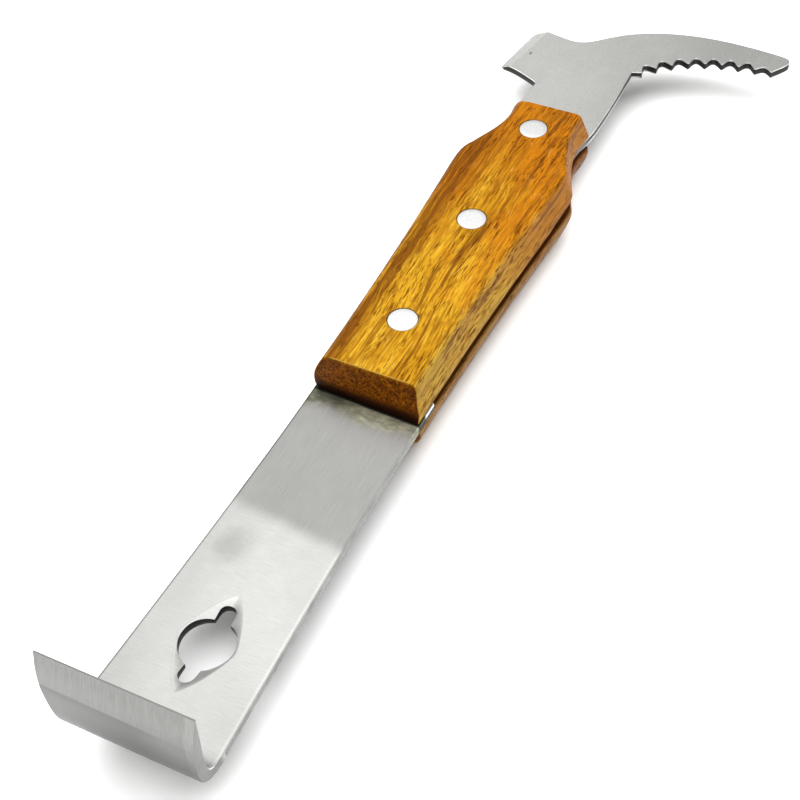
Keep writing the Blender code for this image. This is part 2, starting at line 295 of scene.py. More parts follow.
def tooth_line(steps=16):
    """The hook's inner edge: scallops ground into a curved line, leaving sharp teeth between."""
    start, pull, end = TOOTH_CURVE
    samples = 480
    fine = []
    for k in range(samples + 1):
        t = k / samples
        fine.append(
            tuple((1 - t) ** 2 * a + 2 * t * (1 - t) * b + t**2 * c for a, b, c in zip(start, pull, end))
        )
    run = [0.0]
    for a, b in zip(fine, fine[1:]):
        run.append(run[-1] + math.dist(a, b))
    pitch = run[-1] / TEETH
    found = []
    i = 0
    for k in range(TEETH * steps + 1):
        along = min(k * pitch / steps, run[-1])
        while i < len(run) - 2 and run[i + 1] < along:
            i += 1
        share = (along - run[i]) / (run[i + 1] - run[i])
        dx = fine[i + 1][0] - fine[i][0]
        dy = fine[i + 1][1] - fine[i][1]
        length = math.hypot(dx, dy)
        into = TOOTH_DEPTH * math.sin(math.pi * (k % steps) / steps) ** TOOTH_POINT
        if k > (TEETH - 1) * steps:
            into *= LAST_TOOTH_SHARE
        found.append(
            (
                fine[i][0] + share * dx - into * dy / length,
                fine[i][1] + share * dy + into * dx / length,
            )
        )
    return found


def plate_outline():
    """(x, y, rounding) counter-clockwise from the right end of the line where the bend starts."""
    right = []
    stations = 30
    for k in range(stations + 1):
        y = BEND_Y + (BLADE_SHOULDER_Y - BEND_Y) * k / stations
        right.append((blade_half(y), y))
    shoulder = [(13.6, 9.6), (11.6, 10.6), (TANG_HALF, 12.4), (TANG_HALF, 60.0), (TANG_HALF, 112.0)]
    neck_right = spline([(10.3, 115.2), (11.2, 119.6), (11.7, 125.9), (11.8, 136.7), (11.5, 148.4)], 6)
    neck_right.append((11.4, 153.6))
    tip = spline(
        [(51.0, 170.6), (52.5, 172.8), (53.5, 174.9), (53.3, 176.4), (52.0, 177.3), (48.5, 177.9)], 6
    )
    back = spline(
        [(44.5, 178.3), (36.4, 178.7), (28.2, 178.5), (20.1, 177.4), (11.9, 175.2), (4.7, 171.8),
         (-0.4, 168.2), (-5.0, 164.2), (-8.1, 162.3), (-11.7, 161.8), (-16.9, 162.7)], 8
    )
    pry = [
        (-20.2, 163.2), (-24.4, 163.6), (-25.3, 163.0), (-27.6, 145.2), (-27.5, 143.8), (-26.5, 143.0)
    ]
    notch = spline(
        [(-24.1, 142.5), (-21.5, 141.7), (-18.9, 140.7), (-16.5, 139.6), (-14.4, 138.6), (-13.6, 138.0)],
        3,
    )
    neck_left = spline(
        [(-13.5, 137.2), (-13.8, 134.1), (-14.2, 129.7), (-13.8, 124.3), (-12.2, 119.4), (-10.6, 115.5)],
        6,
    )
    left = [(-x, y) for x, y in (right + shoulder)[::-1]]
    runs = (
        (right, 0.3), (shoulder, 0.2), (neck_right, 0.22), (tooth_line(), 0.22), (tip, 0.15),
        (back, 0.22), (pry, 0.08), (notch, 0.12), (neck_left, 0.2), (left, 0.3),
    )
    return [(x, y, rounding) for points, rounding in runs for x, y in points]


def inset(outline, share):
    """The outline moved inwards by a share of each point's rounding. The two ends move across."""
    found = []
    last = len(outline) - 1
    for k, (x, y, rounding) in enumerate(outline):
        if k in (0, last):
            found.append((x - math.copysign(rounding * share, x), y))
            continue
        normals = []
        for a, b in ((outline[k - 1], outline[k]), (outline[k], outline[k + 1])):
            length = math.hypot(b[0] - a[0], b[1] - a[1])
            normals.append(((a[1] - b[1]) / length, (b[0] - a[0]) / length))
        nx = normals[0][0] + normals[1][0]
        ny = normals[0][1] + normals[1][1]
        meet = 1 + normals[0][0] * normals[1][0] + normals[0][1] * normals[1][1]
        reach = rounding * share / max(meet, 0.35)
        found.append((x + nx * reach, y + ny * reach))
    return found


def lip_sections():
    """(half width, inner y and z, outer y and z) from the flat blade round the bend to the edge."""
    inner = spline(LIP_INNER, 6)
    outer = spline(LIP_OUTER, 6)
    foot = blade_half(BEND_Y)
    found = []
    for near, far in zip(inner, outer):
        share = max(near[1], 0.0) / LIP_TOP_Z
        found.append((foot + (LIP_HALF_TOP - foot) * share, near, far))
    return found


def edge_levels(thickness, rounding):
    """(how far in, how deep) of each level down a side face with both of its edges rounded."""
    upper = [(a * rounding, b * rounding) for a, b in ROUND_STEPS]
    lower = [(a, thickness - b) for a, b in upper[::-1]]
    return upper + lower


def blank_plate():
    """The plate before its holes are cut: the flat outline with rounded edges, then the bend and
    the lip section by section."""
    outline = plate_outline()
    count = len(outline)
    corners = []
    for share, drop in ROUND_STEPS:
        moved = inset(outline, share)
        corners += [(x, y, -drop * point[2]) for (x, y), point in zip(moved, outline)]
    for share, drop in ROUND_STEPS[::-1]:
        moved = inset(outline, share)
        corners += [(x, y, drop * point[2] - PLATE_T) for (x, y), point in zip(moved, outline)]
    levels = 2 * len(ROUND_STEPS)
    faces = []
    for level in range(levels - 1):
        for k in range(count - 1):
            a = level * count + k
            faces.append((a, a + count, a + count + 1, a + 1))
    faces.append(tuple(range(count)))
    faces.append(tuple(range(levels * count - 1, (levels - 1) * count - 1, -1)))
    last = [level * count for level in range(levels)]
    last += [level * count + count - 1 for level in range(levels - 1, -1, -1)]
    for half, inner, outer in lip_sections()[1:]:
        thickness = math.dist(inner, outer)
        side = edge_levels(thickness, min(0.3, 0.35 * thickness))
        new = len(corners)
        ring = []
        for into, deep in side:
            share = deep / thickness
            y = inner[0] + (outer[0] - inner[0]) * share
            z = inner[1] + (outer[1] - inner[1]) * share
            ring.append((half - into, y, z))
        corners += ring + [(-x, y, z) for x, y, z in ring[::-1]]
        this = list(range(new, new + 2 * levels))
        for k in range(2 * levels):
            n = (k + 1) % (2 * levels)
            faces.append((last[k], this[k], this[n], last[n]))
        last = this
    faces.append(tuple(last))
    return mesh_object("steel_plate", corners, faces)


def nail_outline():
    """A round hole with a slot at each end, for gripping a nail's shank."""
    turn = math.asin(SLOT_HALF / NAIL_R)
    found = []
    for side in (1, -1):
        for k in range(49):
            angle = math.pi / 2 - turn - (math.pi - 2 * turn) * k / 48
            found.append((side * NAIL_R * math.cos(angle), side * NAIL_R * math.sin(angle)))
        centre = -side * (SLOT_REACH - SLOT_HALF)
        for k in range(21):
            angle = math.pi * k / 20
            found.append(
                (side * SLOT_HALF * math.cos(angle), centre - side * SLOT_HALF * math.sin(angle))
            )
    return [(x, y + NAIL_Y) for x, y in found]


def coin_ring(scale, z, sides=120):
    """The pointed oval that is pressed into the plate round the nail puller."""
    ring = []
    for k in range(sides):
        turn = 2 * math.pi * k / sides
        x = abs(math.cos(turn)) ** (2 / COIN_POWER) * math.copysign(1, math.cos(turn))
        y = abs(math.sin(turn)) ** (2 / COIN_POWER) * math.copysign(1, math.sin(turn))
        ring.append((scale * COIN_HALF_X * x, NAIL_Y + scale * COIN_HALF_Y * y, z))
    return ring


def coin_cutter():
    """The recess: a rolled-over rim, then a straight slope down past the hole's edge."""
    rings = [coin_ring(1.3, 0.8)]
    for scale, z in ((1.035, 0.02), (1.01, -0.015), (0.98, -0.07), (0.94, -0.17), (0.62, -COIN_DEPTH)):
        rings.append(coin_ring(scale, z))
    return stacked("coin_tool", rings)


def pry_cutter():
    """A wedge whose lower face slopes down from the pry edge's back line to its thin edge."""
    right, left = PRY_BACK_LINE
    length = math.dist(right, left)
    out = ((left[1] - right[1]) / length, -(left[0] - right[0]) / length)
    slope = PRY_DROP / PRY_LAND
    rings = []
    for x, y in (right, left):
        ring = []
        for d, z in ((-2.0, 2.0 * slope), (8.0, -8.0 * slope), (8.0, 3.0), (-2.0, 3.0)):
            ring.append((x + d * out[0], y + d * out[1], z))
        rings.append(ring)
    return stacked("pry_bevel_tool", rings)


def break_hole_edges(obj, width):
    """Rounds the sharp edges of the nail puller, so that they catch the light."""
    shape = bmesh.new()
    shape.from_mesh(obj.data)
    centre = Vector(place(0.0, NAIL_Y, 0.0))
    chosen = []
    for edge in shape.edges:
        if len(edge.link_faces) != 2 or edge.calc_face_angle(0.0) < math.radians(50):
            continue
        away = (edge.verts[0].co + edge.verts[1].co) / 2 - centre
        if math.hypot(away.x, away.y) < (SLOT_REACH + 0.5) / 1000:
            chosen.append(edge)
    bmesh.ops.bevel(
        shape, geom=chosen, offset=width / 1000, segments=2, profile=0.5, affect="EDGES",
        clamp_overlap=True,
    )
    shape.to_mesh(obj.data)
    shape.free()


def make_plate():
    plate = blank_plate()
    nail = nail_outline()
    tools = [
        coin_cutter(),
        stacked("nail_tool", [[(x, y, z) for x, y in nail] for z in THROUGH]),
        pry_cutter(),
    ]
    hole = RIVET_TUBE_R + FIT_GAP
    for number, y in enumerate(RIVET_Y, 1):
        profile = [(0, THROUGH[0]), (hole, THROUGH[0]), (hole, THROUGH[1]), (0, THROUGH[1])]
        tools.append(turned(f"tang_hole_{number}_tool", profile, 0.0, y, sides=48))
    cut(plate, tools)
    break_hole_edges(plate, HOLE_EDGE)
    shade_smooth(plate, 24)
    return plate


def side_inset(side, height, y, sign):
    """How far a scale's right side stands in at this height. The upper scale's lower edge is
    crisp from the scraper end up to its widest part, and its side is steeper at the neck."""
    stands_in = smooth(side, height)
    if sign > 0 and height < CRISP_HEIGHT:
        fade = min(max((y - CRISP_UNTIL_Y) / CRISP_FADE, 0.0), 1.0)
        stands_in *= 1 - CRISP_SHARE * (1 - fade) * (1 - (height / CRISP_HEIGHT) ** 2)
    elif sign > 0:
        stands_in *= 1 - BOXY_SHARE * min(max((y - BOXY_FROM_Y) / BOXY_FADE, 0.0), 1.0)
    return stands_in


def scale_rings(left_side, right_side, base, sign):
    """Cross-sections of one scale from the scraper end to the hook end. sign is 1 above the
    plate and -1 below it."""
    count = 26
    levels = [FIT_GAP + (SCALE_H - FIT_GAP) * k / count for k in range(count + 1)]
    levels += [SCALE_H - 0.25, SCALE_H - 0.1]
    levels.sort()
    # Sections lie closer together at the ends, and from the widest part through the neck
    shares = [0.0, 0.0008, 0.0022, 0.0042, 0.008, 0.014]
    shares += [k / 70 for k in range(2, 50)]
    shares += [0.70 + 0.009 * k for k in range(31)]
    shares += [0.985, 0.9895, 0.993, 0.9958, 0.998, 0.9993, 1.0]
    rings = []
    for share in shares:
        left, right = [], []
        for height in levels:
            near = END_LEAN * height / SCALE_H
            far = HANDLE_LENGTH - near
            y = near + (far - near) * share
            round_far = max(1.0 - (far - y) / FAR_ROUND, 0.0)
            round_near = max(1.0 - (y - near) / NEAR_ROUND, 0.0)
            half = smooth(SCALE_PLAN, y)
            half -= FAR_ROUND * (1 - math.sqrt(1 - round_far**2))
            half -= NEAR_ROUND * (1 - math.sqrt(1 - round_near**2))
            skew = END_SKEW * (1 - height / SCALE_H) ** 2 * max(1.0 - y / SKEW_FADE, 0.0)
            z = base + sign * height
            left.append((smooth(left_side, height) - half, y + max(sign, 0) * skew, z))
            right.append((half - side_inset(right_side, height, y, sign), y, z))
        rings.append(left + right[::-1])
    return rings


def make_scale(name, sides, base, sign):
    """One wooden scale with a stepped hole for each rivet, and the hole's edge eased."""
    scale = stacked(name, scale_rings(*sides, base, sign), slats=True)
    outer = base + sign * SCALE_H
    seat = outer - sign * (FLUSH + RIVET_HEAD_T + FIT_GAP)
    bore = RIVET_TUBE_R + FIT_GAP
    wide = RIVET_HEAD_R + HEAD_GAP
    profile = [
        (0, base - sign * 2), (bore, base - sign * 2), (bore, seat),
        (wide, seat), (wide, outer - sign * EASE_DEPTH), (wide + EASE_WIDTH, outer + sign * 0.02),
        (wide + EASE_WIDTH, outer + sign * 2), (0, outer + sign * 2),
    ]
    cut(scale, [turned(f"{name}_hole_{n}_tool", profile, 0.0, y) for n, y in enumerate(RIVET_Y, 1)])
    shade_smooth(scale, 38)
    return scale


def head(top, sign):
    """A flush rivet head's profile from its middle out to its edge: a hardly crowned face with a
    small rounded rim."""
    rim = RIVET_HEAD_R - RIVET_RIM
    crown = [(0, top), (rim * 0.35, top - sign * 0.003), (rim * 0.7, top - sign * 0.012)]
    crown.append((rim, top - sign * 0.03))
    for angle in (25, 50, 75, 90):
        a = math.radians(angle)
        crown.append((rim + RIVET_RIM * math.sin(a), top - sign * (0.03 + 0.22 * (1 - math.cos(a)))))
    return crown


def make_rivet(number, y):
    """A cutler's rivet: a pinned head above and a tubular head below."""
    top = SCALE_H - FLUSH
    under = top - RIVET_HEAD_T
    end = -PLATE_T - SCALE_H + FLUSH
    over = end + RIVET_HEAD_T
    pin = head(top, 1) + [
        (RIVET_HEAD_R, under), (RIVET_PIN_R, under), (RIVET_PIN_R, over + 1.6),
        (RIVET_PIN_R - 0.4, over + 1.1), (0, over + 1.1),
    ]
    bore = RIVET_PIN_R + FIT_GAP
    tube = head(end, -1) + [
        (RIVET_HEAD_R, over), (RIVET_TUBE_R, over), (RIVET_TUBE_R, under - 0.8),
        (RIVET_TUBE_R - 0.2, under - 0.6), (bore, under - 0.6), (bore, over + 0.6), (0, over + 0.6),
    ]
    found = []
    for name, profile in ((f"rivet_{number}_upper_half", pin), (f"rivet_{number}_lower_half", tube)):
        half = turned(name, profile, 0.0, y)
        shade_smooth(half, 40)
        found.append(half)
    return found


# Materials


class Nodes:
    """A short way to write a node tree. A colour is a socket or (red, green, blue)."""

    def __init__(self, name):
        self.material = bpy.data.materials.new(name)
        self.material.use_nodes = True
        self.tree = self.material.node_tree
        self.shader = self.tree.nodes["Principled BSDF"]

    def add(self, kind, **settings):
        node = self.tree.nodes.new(kind)
        for key, value in settings.items():
            setattr(node, key, value)
        return node

    def feed(self, socket, value):
        if isinstance(value, bpy.types.NodeSocket):
            self.tree.links.new(value, socket)
        else:
            socket.default_value = value

    def maths(self, operation, a, b=0.0, c=0.0, clamp=False):
        node = self.add("ShaderNodeMath", operation=operation, use_clamp=clamp)
        for socket, value in zip(node.inputs, (a, b, c)):
            self.feed(socket, value)
        return node.outputs[0]

    def times(self, first, *others):
        """The product of several numbers."""
        product = first
        for other in others:
            product = self.maths("MULTIPLY", product, other)
        return product

    def linear(self, value, slope, plus):
        return self.maths("MULTIPLY_ADD", value, slope, plus)

    def step(self, value, low, high, out_low=0.0, out_high=1.0):
        """A smooth step of value from low to high."""
        node = self.add("ShaderNodeMapRange", interpolation_type="SMOOTHSTEP")
        for socket, given in zip(node.inputs, (value, low, high, out_low, out_high)):
            self.feed(socket, given)
        return node.outputs[0]

    def mix(self, share, a, b):
        """A mix of two colours."""
        node = self.add("ShaderNodeMix", data_type="RGBA")
        self.feed(node.inputs[0], share)
        for socket, colour in ((node.inputs[6], a), (node.inputs[7], b)):
            self.feed(socket, (*colour, 1.0) if isinstance(colour, tuple) else colour)
        return node.outputs[2]

    def blend(self, share, a, b):
        """A mix of two numbers."""
        node = self.add("ShaderNodeMix", data_type="FLOAT")
        self.feed(node.inputs[0], share)
        self.feed(node.inputs[2], a)
        self.feed(node.inputs[3], b)
        return node.outputs[0]

    def join(self, *channels, kind="ShaderNodeCombineXYZ"):
        """A vector, or with kind a colour, from numbers."""
        node = self.add(kind)
        for socket, value in zip(node.inputs, channels):
            self.feed(socket, value)
        return node.outputs[0]

    def vectors(self, operation, a, b):
        node = self.add("ShaderNodeVectorMath", operation=operation)
        self.feed(node.inputs[0], a)
        self.feed(node.inputs[1], b)
        return node.outputs["Value" if operation == "DISTANCE" else "Vector"]

    def normal(self, kind):
        """The x, y and z of the surface's Normal, or of each facet's True Normal."""
        split = self.add("ShaderNodeSeparateXYZ")
        self.feed(split.inputs[0], self.add("ShaderNodeNewGeometry").outputs[kind])
        return split.outputs

    def position(self):
        """The drafting frame's position in millimetres, as a vector and as x, y and z."""
        here = self.add("ShaderNodeTexCoord").outputs["Object"]
        scaled = self.add("ShaderNodeVectorMath", operation="MULTIPLY_ADD")
        self.feed(scaled.inputs[0], here)
        scaled.inputs[1].default_value = (1000, 1000, 1000)
        scaled.inputs[2].default_value = ORIGIN
        split = self.add("ShaderNodeSeparateXYZ")
        self.feed(split.inputs[0], scaled.outputs[0])
        return scaled.outputs[0], split.outputs

    def noise(self, vector, size, detail=3.0, roughness=0.5, distortion=0.0, offset=(0, 0, 0)):
        """Noise whose features are about size millimetres long along each axis."""
        scaled = self.add("ShaderNodeVectorMath", operation="MULTIPLY_ADD")
        self.feed(scaled.inputs[0], vector)
        scaled.inputs[1].default_value = tuple(1 / s for s in size)
        scaled.inputs[2].default_value = offset
        node = self.add("ShaderNodeTexNoise")
        self.feed(node.inputs["Vector"], scaled.outputs[0])
        node.inputs["Scale"].default_value = 1.0
        node.inputs["Detail"].default_value = detail
        node.inputs["Roughness"].default_value = roughness
        node.inputs["Distortion"].default_value = distortion
        return node.outputs["Fac"]

    def ramp(self, value, stops):
        """A colour read from (position, colour) stops."""
        node = self.add("ShaderNodeValToRGB")
        self.feed(node.inputs[0], value)
        elements = node.color_ramp.elements
        while len(elements) < len(stops):
            elements.new(1.0)
        for element, (at, colour) in zip(elements, stops):
            element.position = at
            element.color = (*colour, 1.0)
        return node.outputs[0]

    def bump(self, height, distance, strength):
        """A normal from a height map that is up to distance millimetres high."""
        node = self.add("ShaderNodeBump")
        node.inputs["Strength"].default_value = strength
        node.inputs["Distance"].default_value = distance / 1000
        self.feed(node.inputs["Height"], height)
        return node.outputs[0]

    def finish(self, colour, roughness, metallic, normal=None, specular=None):
        """Sets the shader's inputs and gives the material."""
        inputs = self.shader.inputs
        self.feed(inputs["Base Color"], colour)
        self.feed(inputs["Roughness"], roughness)
        inputs["Metallic"].default_value = metallic
        if normal is not None:
            self.feed(inputs["Normal"], normal)
        if specular is not None:
            inputs["Specular IOR Level"].default_value = specular
        return self.material


# Materials: places are in the drafting frame, colours are linear

# Steel
GROUND_FROM = (-37.8, -43.2)
HEAD_FROM = (112.0, 122.0)
SMUDGE_AT = (-8.5, -51.0, 0.0)
NICK_AT = (-20.8, 151.0)
NICK_SQUEEZE = 0.45
STEEL_TINT = (1.0, 1.0, 0.965)
BAND_TINT = (0.97, 1.0, 0.76)

# Wood, along the grain
WOOD_BASE = (
    (0.30, (0.22, 0.084, 0.001)),
    (0.42, (0.33, 0.145, 0.001)),
    (0.55, (0.42, 0.215, 0.006)),
    (0.70, (0.48, 0.275, 0.016)),
)
PALE_LINES = (0.60, 0.37, 0.050)
RED_ZONE = (0.325, 0.099, 0.001)
RED_PATCHES = (0.37, 0.122, 0.001)
GOLDEN_ZONE = (0.53, 0.31, 0.016)
DARK_MOTTLE = (0.24, 0.090, 0.002)
PALE_MOTTLE = (0.62, 0.40, 0.090)
# Painted sheen on the scales' right sides
UPPER_SIDE_SHEEN = (0.44, 0.29, 0.048)
LOWER_SIDE_SHEEN = (0.24, 0.135, 0.050)
LEFT_BAND = (0.145, 0.047, 0.001)
DARK_BANDS = (0.11, 0.032, 0.001)
DARK_LINES = (0.15, 0.048, 0.001)
DARK_FIBRES = (0.13, 0.042, 0.001)
PORES = (0.07, 0.016, 0.001)
# Painted shade on the lower scale's far tip and in the crevices along the plate
FAR_TIP_SHADE = (0.16, 0.045, 0.006)
CREVICE_SHADE = (0.045, 0.010, 0.001)

# Wood, end grain
END_RINGS = ((0.125, 0.032, 0.001), (0.215, 0.061, 0.001))
END_STAIN = (0.055, 0.015, 0.001)
END_DARK_DOTS = (0.032, 0.009, 0.001)
END_PALE_DOTS = (0.28, 0.115, 0.006)
# Painted shade down by the steel, then the paler colour of the outer edge
END_PAINTED_SHADE = (0.012, 0.003, 0.001)
END_PALE_EDGE = (0.55, 0.33, 0.06)


def steel_zones(n):
    """Where the plate's finishes and faces lie, each as a share from 0 to 1, and its clouds."""
    vector, (x, y, z) = n.position()
    round_y = n.normal("Normal")[1]
    facet = n.normal("True Normal")
    upward = n.maths("ABSOLUTE", facet[2])
    flat_part = n.step(y, -99.0, -98.0)
    from_middle = n.maths("ABSOLUTE", x)
    wander = n.linear(n.noise(vector, (6, 30, 30), 2), 2.0, -1.0)
    ground_edge = n.maths("ADD", n.linear(x, 0.09, y), wander)
    return SimpleNamespace(
        vector=vector,
        x=x,
        y=y,
        z=z,
        facet=facet,
        upward=upward,
        flat_part=flat_part,
        from_middle=from_middle,
        ground=n.step(ground_edge, *GROUND_FROM),
        head=n.step(y, *HEAD_FROM),
        lip=n.times(n.step(round_y, -0.25, -0.65), n.step(y, -99.0, -103.0)),
        lip_inside=n.times(n.step(round_y, 0.15, 0.45), n.step(y, -99.0, -101.0)),
        lip_bevel=n.step(n.linear(x, 0.02, z), 16.0, 16.9),
        lip_end=n.times(n.step(n.maths("ABSOLUTE", facet[0]), 0.8, 0.95), n.step(y, -96.5, -100.5)),
        lip_top=n.step(z, 25.10, 25.16),
        upright=n.step(y, -103.6, -104.8),
        cut_face=n.times(n.step(upward, 0.45, 0.2), flat_part),
        hole_wall=n.times(n.step(from_middle, 9.0, 8.0), n.step(y, -60.0, -62.0)),
        cloud=n.noise(vector, (22, 30, 22), 3, 0.5),
        cloud_small=n.noise(vector, (4, 6, 4), 3, 0.6),
    )


def steel_brushing(n, s):
    """Brushing runs along the tool by the handle, across it on the ground end and up the lip."""
    along = n.noise(s.vector, (0.22, 9, 0.6), 4, 0.7)
    across = n.noise(s.vector, (4.5, 0.20, 3), 4, 0.75)
    up = n.noise(s.vector, (0.30, 2.0, 7), 4, 0.7)
    fine = n.noise(s.vector, (0.5, 1.0, 0.5), 4, 0.65)
    brushed = n.blend(s.ground, along, across)
    brushed = n.blend(s.upright, brushed, up)
    return n.blend(s.head, brushed, n.blend(0.6, along, fine))


def steel_finishes_and_painted_light(n, s):
    """How bright each finish is, with painted light on top: painted reflection grading across the ground
    end and the hook, painted shade on the lip's outer face, darkest at its foot, and a painted highlight
    inside the bend.
    """
    # Painted reflection: the ground end grades brighter to the right and a little darker towards the lip
    ground_tone = n.times(n.step(s.x, -16.0, -2.0, 0.68, 0.755), n.step(s.y, -72.0, -92.0, 1.0, 0.93))
    tone = n.blend(s.ground, 0.50, ground_tone)
    # Painted reflection: the hook grades darker towards its right
    tone = n.blend(s.head, tone, n.blend(n.step(s.x, -10.0, 36.0), 0.79, 0.65))
    # Painted shade on the lip's outer face, darkest at its foot, its upper facet a little lighter
    lip_low = n.times(n.step(s.z, 2.0, 16.0, 0.064, 0.175), n.step(s.x, 2.0, 14.0, 0.78, 1.08))
    lip_tone = n.blend(s.lip_bevel, lip_low, n.step(s.z, 17.0, 20.5, 0.213, 0.233))
    tone = n.blend(s.lip, tone, lip_tone)
    # Painted highlight inside the bend
    return n.blend(s.lip_inside, tone, 0.95)


def steel_marks(n, s, tone, brushed):
    """Adds a dull spot on the ground end, clouds, the brushing and a nick by the pry edge."""
    smudge = n.linear(s.cloud_small, 4.0, n.vectors("DISTANCE", s.vector, SMUDGE_AT))
    tone = n.times(tone, n.step(smudge, 3.0, 9.5, 0.80, 1.0))
    tone = n.times(tone, n.linear(s.cloud, 0.20, 0.90))
    tone = n.times(tone, n.linear(s.cloud_small, 0.12, 0.94))
    depth = n.blend(s.ground, 0.70, 0.65)
    depth = n.blend(s.lip, depth, n.blend(s.lip_bevel, 0.45, 0.8))
    spread = n.times(n.maths("SUBTRACT", brushed, 0.5), depth)
    tone = n.times(tone, n.maths("ADD", spread, 1.0))
    squeezed = n.vectors("MULTIPLY", s.vector, (1.0, NICK_SQUEEZE, 0.0))
    nick = n.vectors("DISTANCE", squeezed, (NICK_AT[0], NICK_AT[1] * NICK_SQUEEZE, 0.0))
    nick = n.linear(n.noise(s.vector, (0.5, 0.5, 0.5), 2), 0.5, nick)
    return n.times(tone, n.step(nick, 0.35, 0.75, 0.30, 1.0))


def steel_edges(n, s, tone):
    """Painted light on the edges: the sloped faces of the pressed recess and the rounded edges get a
    painted highlight, and painted shade on the hook; the right edge of the ground end gets a painted
    highlight, and the underside with its edge and the left edge by the handle get painted shade."""
    upper_side = n.times(n.step(s.z, -0.02, -0.10), n.step(s.z, -2.2, -2.0))
    pressed = n.times(upper_side, n.step(s.upward, 0.5, 0.75), s.flat_part)
    # Painted highlight on slopes turned right or forwards, painted shade on the hook's slopes
    toward = n.times(n.maths("SUBTRACT", s.facet[0], s.facet[1]), 0.7)
    slope_painted_light = n.blend(s.head, n.blend(n.step(toward, -0.10, 0.10), 1.05, 1.3), 0.80)
    tone = n.times(tone, n.blend(pressed, 1.0, slope_painted_light))
    # Painted shade on the underside
    under = n.times(n.step(s.z, -2.2, -2.45), s.flat_part)
    tone = n.times(tone, n.blend(under, 1.0, 0.35))

    # The same half width as blade_half
    from_flare = n.maths("SUBTRACT", FLARE_FROM_Y, s.y)
    flare = n.maths("MULTIPLY", from_flare, 1 / FLARE_LENGTH, clamp=True)
    half = n.linear(n.maths("POWER", flare, FLARE_POWER), BLADE_FLARE, BLADE_HALF)
    # Painted highlight along the right edge of the ground end
    right_edge_highlight = n.times(n.step(n.maths("SUBTRACT", half, s.x), 1.1, 0.6), s.ground)
    tone = n.times(tone, n.blend(right_edge_highlight, 1.0, 1.15))
    # Painted shade along the left edge by the handle
    shaded = n.times(n.step(n.maths("ADD", half, s.x), 0.75, 0.35), n.step(s.y, 11.0, 10.0))
    return n.times(tone, n.blend(n.times(shaded, s.flat_part), 1.0, 0.5))


def steel_wall_painted_light(n, s):
    """Walls of the cuts and the plate's sides, all painted light: painted shade on the walls, with a
    bright painted highlight along the top on the hook and a paler painted reflection at the bottom edge;
    the sides mid-grey and paler at the bottom, and bright above and dark below between the scales.
    """
    painted_top_highlight = n.step(s.z, -0.40, -0.24)
    prongs = n.step(s.from_middle, 12.4, 14.8)
    head_bottom = n.blend(prongs, n.step(s.z, -1.45, -1.95), n.step(s.z, -2.0, -2.4))
    bottom = n.blend(s.head, n.step(s.z, -1.8, -2.2), head_bottom)
    wall = n.blend(bottom, n.blend(s.head, 0.02, 0.03), n.blend(s.head, 0.05, 0.55))
    wall = n.blend(painted_top_highlight, wall, n.blend(s.head, 0.025, 0.90))
    long_side = n.blend(bottom, 0.26, 0.40)
    wall = n.blend(n.maths("MAXIMUM", s.hole_wall, s.head), long_side, wall)
    # Between the scales the side gets a painted highlight above and painted shade below
    between_scales = n.times(n.step(s.y, 0.0, 0.8), n.step(s.y, 14.0, 12.0))
    wall = n.blend(between_scales, wall, n.step(s.z, -1.05, -0.70, 0.05, 0.95))
    return n.times(wall, n.linear(s.cloud_small, 0.9, 0.55))


def steel_band_and_shadow_by_wood(n, s):
    """A mottled darker band where the plate goes in under the wood, with a painted shadow right at the
    wood's edge: where it lies and how bright it is.
    """
    edge = n.linear(n.noise(s.vector, (6, 9, 3), 2, 0.5), 9.0, s.y)
    band_by_wood = n.times(n.step(edge, -1.5, 3.0), n.step(s.y, 4.0, 3.0))
    patches = n.step(n.noise(s.vector, (4.5, 1.8, 2), 3, 0.6), 0.36, 0.66, 0.50, 0.92)
    patches = n.times(patches, n.step(s.x, -9.0, -1.0, 0.72, 1.65))
    # Painted shadow right along the wood's edge
    to_wood = n.linear(s.x, END_SKEW / 30, n.maths("SUBTRACT", s.y, END_SKEW / 2))
    return band_by_wood, n.blend(n.step(to_wood, -0.9, -0.2), patches, 0.10)


def make_steel():
    n = Nodes("brushed_steel_plate")
    s = steel_zones(n)
    brushed = steel_brushing(n, s)
    tone = steel_marks(n, s, steel_finishes_and_painted_light(n, s), brushed)
    tone = steel_edges(n, s, tone)
    tone = n.blend(s.cut_face, tone, steel_wall_painted_light(n, s))
    # Painted shade on the lip's end faces and along its top edge
    tone = n.blend(s.lip_end, tone, 0.16)
    tone = n.blend(s.lip_top, tone, 0.30)
    # The mottled band by the wood, with its painted shadow line
    band_by_wood, band_darkening = steel_band_and_shadow_by_wood(n, s)
    tone = n.times(tone, n.blend(band_by_wood, 1.0, band_darkening))
    colour = n.join(*(n.times(tone, share) for share in STEEL_TINT), kind="ShaderNodeCombineColor")
    colour = n.vectors("MULTIPLY", colour, n.mix(band_by_wood, (1.0, 1.0, 1.0), BAND_TINT))

    rough = n.blend(s.ground, 0.42, 0.34)
    rough = n.blend(s.head, rough, 0.40)
    rough = n.blend(s.cut_face, rough, 0.5)
    rough = n.maths("ADD", rough, n.linear(brushed, 0.24, -0.12))
    return n.finish(colour, rough, 1.0, n.bump(brushed, 0.06, 0.6))


